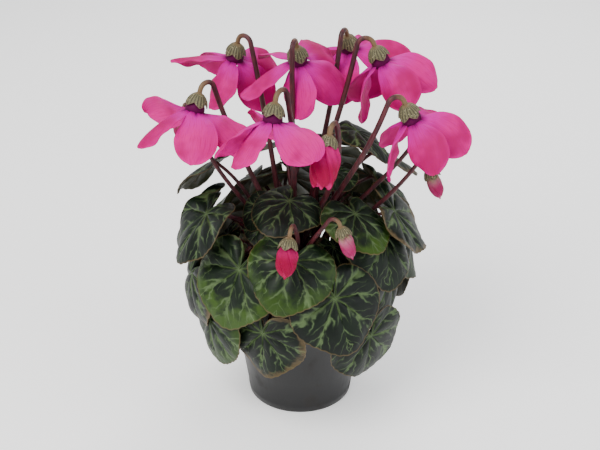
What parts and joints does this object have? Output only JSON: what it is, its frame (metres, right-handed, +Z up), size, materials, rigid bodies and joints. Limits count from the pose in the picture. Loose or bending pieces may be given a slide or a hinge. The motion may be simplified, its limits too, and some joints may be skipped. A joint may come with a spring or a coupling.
{
  "type": "potted cyclamen",
  "caption": "Cyclamen in flower in a tapered round grower's pot: nodding skirted flowers on crooked stalks above a dome of heart-shaped leaves.",
  "frame": {"origin": "centre of the pot's flat underside, where it stands", "axes": "+Z up along the pot's axis; -Y is the side of the plant seen in the picture, +X its right hand side"},
  "size_m": [0.2459, 0.218, 0.3144],
  "materials": {
    "pot_plastic": "moulded anthracite plastic, satin",
    "peat": "moist peat compost",
    "tuber_skin": "corky brown skin",
    "leaf": "dark green with a silvery marbled band, satin",
    "petal": "velvety hot pink, purple at the base",
    "stalk": "maroon stalk, speckled olive calyx",
    "bud": "maroon stalk, olive sepals, furled pink petals"
  },
  "bodies": {
    "root": {"pot": "pot_plastic", "soil": "peat", "tuber": "tuber_skin", "bloom_01_stalk": "stalk", "bloom_02_stalk": "stalk", "bloom_03_stalk": "stalk", "bloom_04_stalk": "stalk", "bloom_05_stalk": "stalk", "bloom_06_stalk": "stalk", "bloom_07_stalk": "stalk", "bloom_08_stalk": "stalk", "bloom_01_petals": "petal", "bloom_02_petals": "petal", "bloom_03_petals": "petal", "bloom_04_petals": "petal", "bloom_05_petals": "petal", "bloom_06_petals": "petal", "bloom_07_petals": "petal", "bloom_08_petals": "petal", "bud_01": "bud", "bud_02": "bud", "bud_03": "bud", "bud_04": "bud", "bud_05": "bud", "leaf_01": "leaf", "leaf_02": "leaf", "leaf_03": "leaf", "leaf_04": "leaf", "leaf_05": "leaf", "leaf_06": "leaf", "leaf_07": "leaf", "leaf_08": "leaf", "leaf_09": "leaf", "leaf_10": "leaf", "leaf_11": "leaf", "leaf_12": "leaf", "leaf_13": "leaf", "leaf_14": "leaf", "leaf_15": "leaf", "leaf_16": "leaf", "leaf_17": "leaf", "leaf_18": "leaf", "leaf_19": "leaf", "leaf_20": "leaf", "leaf_21": "leaf", "leaf_22": "leaf", "leaf_23": "leaf", "leaf_24": "leaf", "leaf_25": "leaf", "leaf_26": "leaf", "leaf_27": "leaf", "leaf_28": "leaf", "leaf_29": "leaf", "leaf_30": "leaf", "leaf_31": "leaf", "leaf_32": "leaf", "leaf_33": "leaf", "leaf_34": "leaf", "leaf_35": "leaf", "leaf_36": "leaf"}
  },
  "joints": []
}
